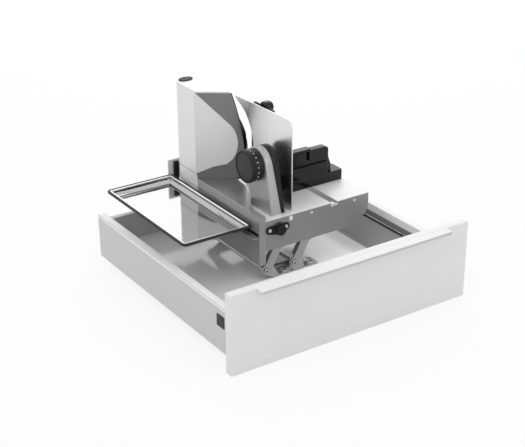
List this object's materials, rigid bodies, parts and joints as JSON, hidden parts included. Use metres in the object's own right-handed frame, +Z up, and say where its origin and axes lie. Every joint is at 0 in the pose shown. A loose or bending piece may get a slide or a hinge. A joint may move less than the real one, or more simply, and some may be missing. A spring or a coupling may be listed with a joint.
{
  "type": "built-in food slicer",
  "caption": "Kitchen drawer with a swing-up electric food slicer: round blade, slice gauge with knob, sliding carriage, collecting tray and telescopic runners.",
  "frame": {"origin": "under the middle of the whole part, at the height of the drawer front's lower edge", "axes": "+X to the right along the drawer front, +Y to the back of the drawer, +Z up"},
  "size_m": [0.596, 0.603, 0.41],
  "materials": {
    "runner_steel": "zinc-plated rolled steel",
    "front_lacquer": "white satin lacquer",
    "side_lacquer": "light grey powder coat",
    "dark_trim": "dark grey plastic",
    "bright_trim": "polished",
    "liner_grey": "grey anti-slip plastic",
    "floor_white": "white melamine board",
    "rear_grey": "grey powder coat",
    "mount_steel": "pressed steel",
    "base_metal": "silver-lacquered die casting",
    "table_steel": "brushed stainless",
    "tower_silver": "silver lacquer",
    "wall_dark": "dark polished metal",
    "black_plastic": "fine-grained black plastic",
    "grey_plastic": "satin dark grey plastic",
    "arm_grey": "light grey lacquer",
    "blade_steel": "ground stainless",
    "gauge_alu": "anodised",
    "motor_dark": "laminated iron",
    "gear_nylon": "moulded nylon",
    "tray_steel": "polished stainless"
  },
  "bodies": {
    "cabinet": {"cabinet_rails": "runner_steel"},
    "runner": {"middle_rails": "runner_steel"},
    "drawer": {"drawer_rails": "runner_steel", "front_panel": "front_lacquer", "handle_lip": "front_lacquer", "side_left": "side_lacquer", "side_right": "side_lacquer", "side_inlays": "dark_trim", "side_beads": "bright_trim", "side_liners": "liner_grey", "drawer_bottom": "floor_white", "rear_panel": "rear_grey", "front_brackets": "runner_steel", "side_covers": "liner_grey", "mount_bracket_front": "mount_steel", "mount_bracket_rear": "mount_steel", "bracket_screws": "dark_trim"},
    "link_a": {"link_a_front": "mount_steel", "link_a_rear": "mount_steel", "pivot_pin_a": "bright_trim"},
    "link_b": {"link_b_front": "mount_steel", "link_b_rear": "mount_steel", "pivot_pin_b": "bright_trim"},
    "slicer": {"cheek_front": "base_metal", "cheek_rear": "base_metal", "left_wall": "base_metal", "table_left": "table_steel", "table_right": "table_steel", "upper_pins": "bright_trim", "cheek_screws": "bright_trim", "lock_flange": "black_plastic", "plinth": "tower_silver", "motor_housing": "tower_silver", "tower_top": "tower_silver", "diagonal_wall": "wall_dark", "wall_cover": "tower_silver", "slice_deck": "tray_steel", "gear_case": "base_metal", "blade_guard": "black_plastic", "motor_shelf": "runner_steel", "motor_stator": "motor_dark", "support_arm": "arm_grey", "guide_rod": "runner_steel"},
    "lock_button": {"lock_button": "grey_plastic"},
    "switch": {"switch_button": "grey_plastic"},
    "blade_drive": {"drive_gear": "gear_nylon", "blade_shaft": "runner_steel", "blade": "blade_steel", "blade_cap": "grey_plastic"},
    "rotor": {"motor_rotor": "motor_dark"},
    "knob": {"thickness_knob": "black_plastic", "knob_face": "grey_plastic"},
    "gauge": {"gauge_plate": "gauge_alu", "gauge_slider": "runner_steel"},
    "carriage": {"carriage_body": "black_plastic", "carriage_guide": "grey_plastic"},
    "holder": {"remnant_holder": "black_plastic"},
    "tray": {"tray": "tray_steel", "tray_rim": "dark_trim"}
  },
  "joints": [
    {"name": "drawer_slide", "type": "slide", "parent": "cabinet", "child": "drawer", "axis": [0, -1, 0], "range_m": [0, 0.48]},
    {"name": "runner_slide", "type": "slide", "parent": "cabinet", "child": "runner", "axis": [0, -1, 0], "range_m": [0, 0.241]},
    {"name": "lift_swing", "type": "hinge", "parent": "drawer", "child": "link_a", "pos_m": [-0.068, 0.0135, 0.07], "axis": [0, 1, 0], "range_deg": [-73, 0]},
    {"name": "link_b_swing", "type": "hinge", "parent": "drawer", "child": "link_b", "pos_m": [0.0055, 0.0135, 0.07], "axis": [0, 1, 0], "range_deg": [-73.2, 0.2]},
    {"name": "slicer_level", "type": "hinge", "parent": "link_a", "child": "slicer", "pos_m": [-0.00691, 0.0135, 0.1802], "axis": [0, 1, 0], "range_deg": [-0.2, 73.2]},
    {"name": "lock_press", "type": "slide", "parent": "slicer", "child": "lock_button", "axis": [0, 1, 0], "range_m": [0, 0.003], "stiffness_N_per_m": 600},
    {"name": "switch_press", "type": "slide", "parent": "slicer", "child": "switch", "axis": [0, 0, -1], "range_m": [0, 0.002], "stiffness_N_per_m": 900},
    {"name": "blade_spin", "type": "hinge", "parent": "slicer", "child": "blade_drive", "pos_m": [0.00489, 0.2005, 0.265], "axis": [1, 0, 0], "continuous": true},
    {"name": "rotor_spin", "type": "hinge", "parent": "slicer", "child": "rotor", "pos_m": [-0.05611, 0.233, 0.265], "axis": [0, 0, 1], "continuous": true},
    {"name": "knob_turn", "type": "hinge", "parent": "slicer", "child": "knob", "pos_m": [-0.04711, 0.0075, 0.289], "axis": [1, 0, 0], "range_deg": [0, 270]},
    {"name": "gauge_slide", "type": "slide", "parent": "slicer", "child": "gauge", "axis": [-1, 0, 0], "range_m": [0, 0.0141]},
    {"name": "carriage_slide", "type": "slide", "parent": "slicer", "child": "carriage", "axis": [0, 1, 0], "range_m": [-0.07, 0.12]},
    {"name": "holder_slide", "type": "slide", "parent": "carriage", "child": "holder", "axis": [1, 0, 0], "range_m": [0, 0.06]},
    {"name": "tray_lift", "type": "slide", "parent": "slicer", "child": "tray", "axis": [0, 0, 1], "range_m": [0, 0.06]}
  ],
  "couplings": [
    {"joint": "runner_slide", "follows": "drawer_slide", "ratio": 0.5},
    {"joint": "link_b_swing", "follows": "lift_swing", "ratio": 1},
    {"joint": "slicer_level", "follows": "lift_swing", "ratio": -1},
    {"joint": "rotor_spin", "follows": "blade_spin", "ratio": 12},
    {"joint": "gauge_slide", "follows": "knob_turn", "m_per_rad": 0.0029709}
  ]
}
